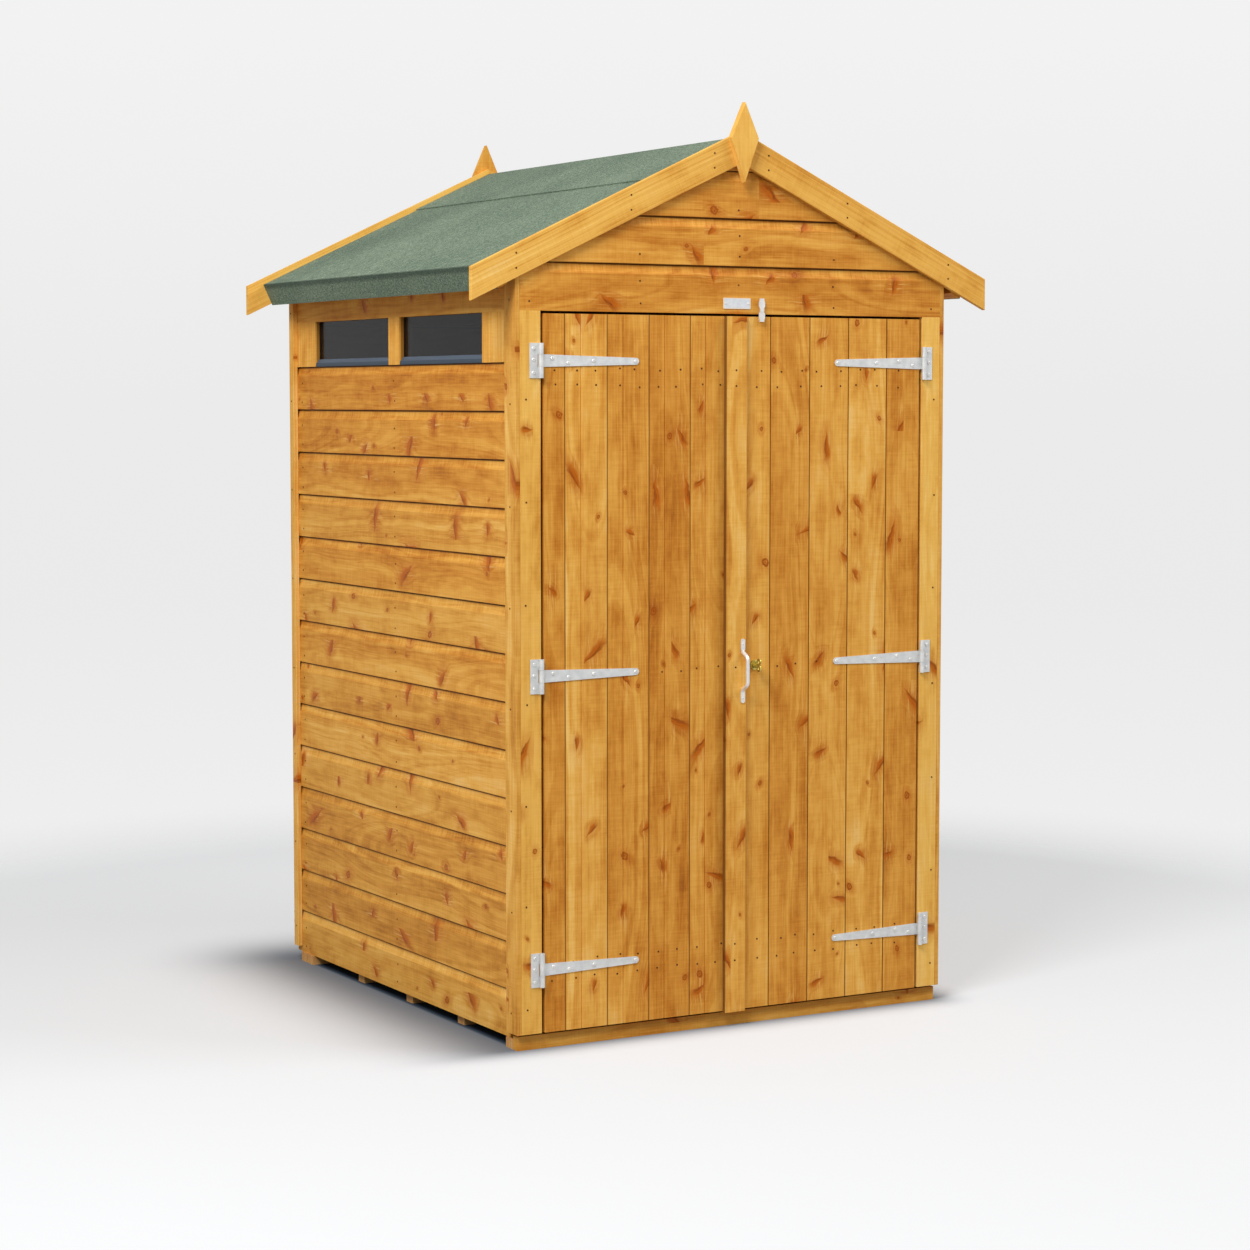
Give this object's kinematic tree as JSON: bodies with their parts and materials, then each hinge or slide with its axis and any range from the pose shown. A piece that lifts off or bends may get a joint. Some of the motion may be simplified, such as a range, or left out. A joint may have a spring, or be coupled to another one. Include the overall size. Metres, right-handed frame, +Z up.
{
  "type": "wooden garden shed",
  "caption": "Small apex-roofed timber garden shed with shiplap walls, felted roof, double ledged doors on T-hinges and a row of high fixed windows on one side.",
  "frame": {"origin": "centre of the underside of the base, on the ground plane", "axes": "+Z up, +X to the right as seen from the doors, +Y from the doors towards the back wall"},
  "size_m": [1.427, 1.368, 2.2029],
  "materials": {
    "frame_timber": "rough sawn softwood",
    "floor_timber": "planed softwood boards",
    "side_cladding": "golden stained planed softwood",
    "front_cladding": "golden stained planed softwood",
    "door_boards": "golden stained planed softwood with knots",
    "post_boards": "pale golden stained softwood",
    "trim_boards": "golden stained planed softwood",
    "roof_timber": "sawn softwood",
    "bargeboards": "golden stained planed softwood",
    "finials": "pale golden stained softwood",
    "roof_felt": "green mineral-faced roofing felt",
    "hinge_steel": "zinc plated",
    "lock_brass": "worn brass",
    "window_glass": "clear glazing over a dark inside",
    "glazing_bar": "blue-grey glazing bar",
    "name_plate": "bare white plate"
  },
  "bodies": {
    "shed": {"bearers": "frame_timber", "front_fascia": "frame_timber", "floor_boards": "floor_timber", "left_cladding": "side_cladding", "left_window_posts": "side_cladding", "left_top_board": "side_cladding", "window_glass": "window_glass", "window_sills": "glazing_bar", "left_wall_frame": "frame_timber", "right_cladding": "side_cladding", "right_wall_frame": "frame_timber", "back_cladding": "side_cladding", "back_wall_frame": "frame_timber", "front_gable_boards": "front_cladding", "front_wall_frame": "frame_timber", "left_door_post": "post_boards", "right_door_post": "post_boards", "front_left_trim": "trim_boards", "front_right_trim": "trim_boards", "back_left_trim": "trim_boards", "back_right_trim": "trim_boards", "left_roof_boards": "roof_timber", "right_roof_boards": "roof_timber", "left_eaves_batten": "roof_timber", "right_eaves_batten": "roof_timber", "roof_purlins": "roof_timber", "left_felt": "roof_felt", "right_felt": "roof_felt", "ridge_felt": "roof_felt", "front_left_bargeboard": "bargeboards", "front_right_bargeboard": "bargeboards", "back_left_bargeboard": "bargeboards", "back_right_bargeboard": "bargeboards", "front_finial": "finials", "back_finial": "finials", "name_plate": "name_plate", "left_hinge_plates": "hinge_steel", "right_hinge_plates": "hinge_steel"},
    "left_leaf": {"left_leaf_boards": "door_boards", "left_leaf_ledges": "frame_timber", "left_hinge_straps": "hinge_steel"},
    "right_leaf": {"right_leaf_boards": "door_boards", "right_leaf_ledges": "frame_timber", "cover_strip": "door_boards", "right_hinge_straps": "hinge_steel", "pull_handle": "hinge_steel", "door_lock": "lock_brass", "turn_button": "hinge_steel"}
  },
  "joints": [
    {"name": "right_door_hinge", "type": "hinge", "parent": "shed", "child": "right_leaf", "pos_m": [0.534, -0.6564, 0], "axis": [0, 0, 1], "range_deg": [0, 105]},
    {"name": "left_door_hinge", "type": "hinge", "parent": "shed", "child": "left_leaf", "pos_m": [-0.534, -0.6564, 0], "axis": [0, 0, -1], "range_deg": [0, 105]}
  ],
  "couplings": [
    {"joint": "left_door_hinge", "follows": "right_door_hinge", "ratio": 1}
  ]
}
